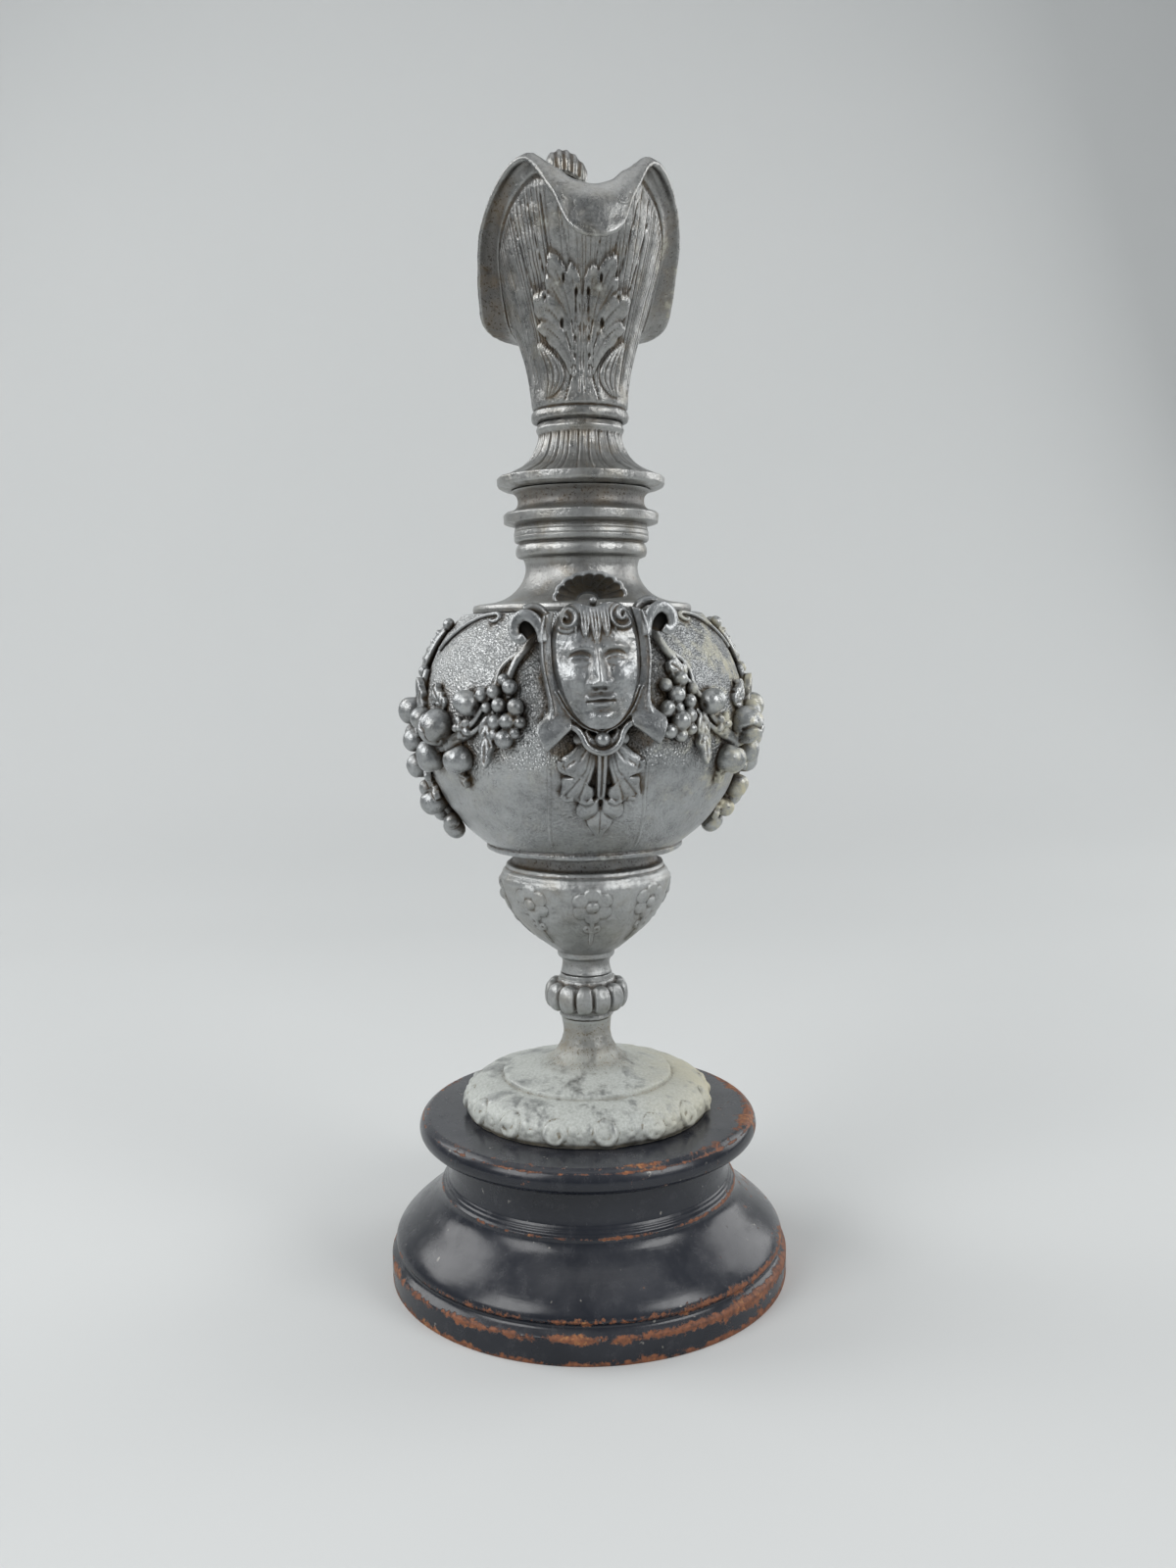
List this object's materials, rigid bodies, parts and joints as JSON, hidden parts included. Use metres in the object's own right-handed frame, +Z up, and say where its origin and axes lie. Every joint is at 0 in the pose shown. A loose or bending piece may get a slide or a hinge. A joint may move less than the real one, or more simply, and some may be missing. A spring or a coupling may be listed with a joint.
{
  "type": "ornamental ewer on plinth",
  "caption": "Tall ornamental pewter ewer with mask cartouche, fruit festoons, helmet spout and looped handle, tied by a rod to a turned ebonised plinth.",
  "frame": {"origin": "centre of the plinth's underside, on the table", "axes": "+Z up the ewer's axis, -Y the way the mask and the pouring lip face, +X to the right of a person who faces the mask"},
  "size_m": [0.175, 0.175, 0.4889],
  "materials": {
    "pewter": "satin cast pewter with dark patina in the recesses",
    "steel": "plain dull steel hardware",
    "ebonised_wood": "black lacquer over turned wood, worn through at the edges"
  },
  "bodies": {
    "root": {"plinth": "ebonised_wood", "plinth_washer": "steel", "plinth_nut": "steel", "tie_rod": "steel", "foot": "pewter", "knop": "pewter", "cup": "pewter", "belly": "pewter", "belly_washer": "steel", "belly_nut": "steel", "collar": "pewter", "neck": "pewter", "spout": "pewter", "handle": "pewter", "cartouche": "pewter", "mask": "pewter", "shell_hood": "pewter", "pendant_leaf": "pewter", "festoon_front_left": "pewter", "festoon_front_right": "pewter", "festoon_rear_left": "pewter", "festoon_rear_right": "pewter", "clasp_left": "pewter", "clasp_right": "pewter", "drop_left": "pewter", "drop_right": "pewter"}
  },
  "joints": []
}
